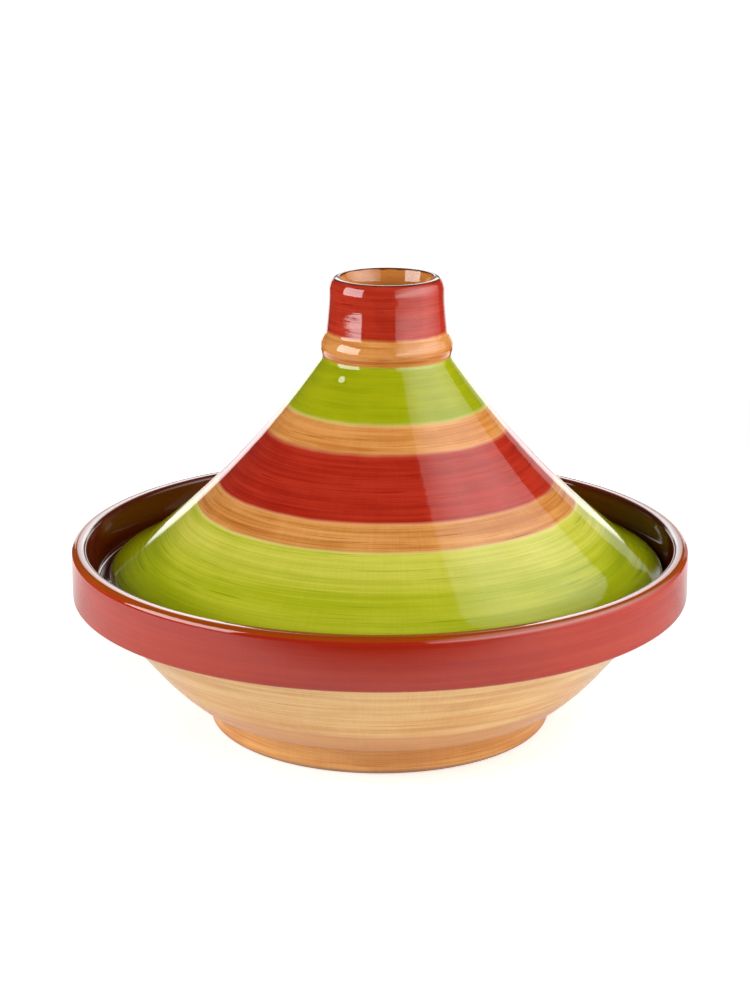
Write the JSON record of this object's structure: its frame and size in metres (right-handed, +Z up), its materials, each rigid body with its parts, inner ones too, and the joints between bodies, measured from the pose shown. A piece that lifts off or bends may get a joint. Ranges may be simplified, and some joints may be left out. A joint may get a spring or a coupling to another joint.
{
  "type": "tagine pot",
  "caption": "Low round earthenware cooking dish with a foot ring and a stepped gallery, covered by a loose trumpet-shaped conical lid with a collar and a hollow chimney handle.",
  "frame": {"origin": "centre of the foot ring, on the surface that the pot stands on", "axes": "+Z up along the dish's axis of turning; the lid lies a little to the +X side of its gallery, as pictured from -Y"},
  "size_m": [0.3, 0.3, 0.2191],
  "materials": {
    "dish_glaze": "glossy clear glaze over hand-painted red and ochre, with a dark brown inside",
    "lid_glaze": "glossy clear glaze over hand-painted green, ochre and red bands"
  },
  "bodies": {
    "dish": {"dish": "dish_glaze"},
    "lid": {"lid": "lid_glaze"}
  },
  "joints": [
    {"name": "lid_lift", "type": "slide", "parent": "dish", "child": "lid", "axis": [0, 0, 1], "range_m": [0, 0.2]}
  ]
}
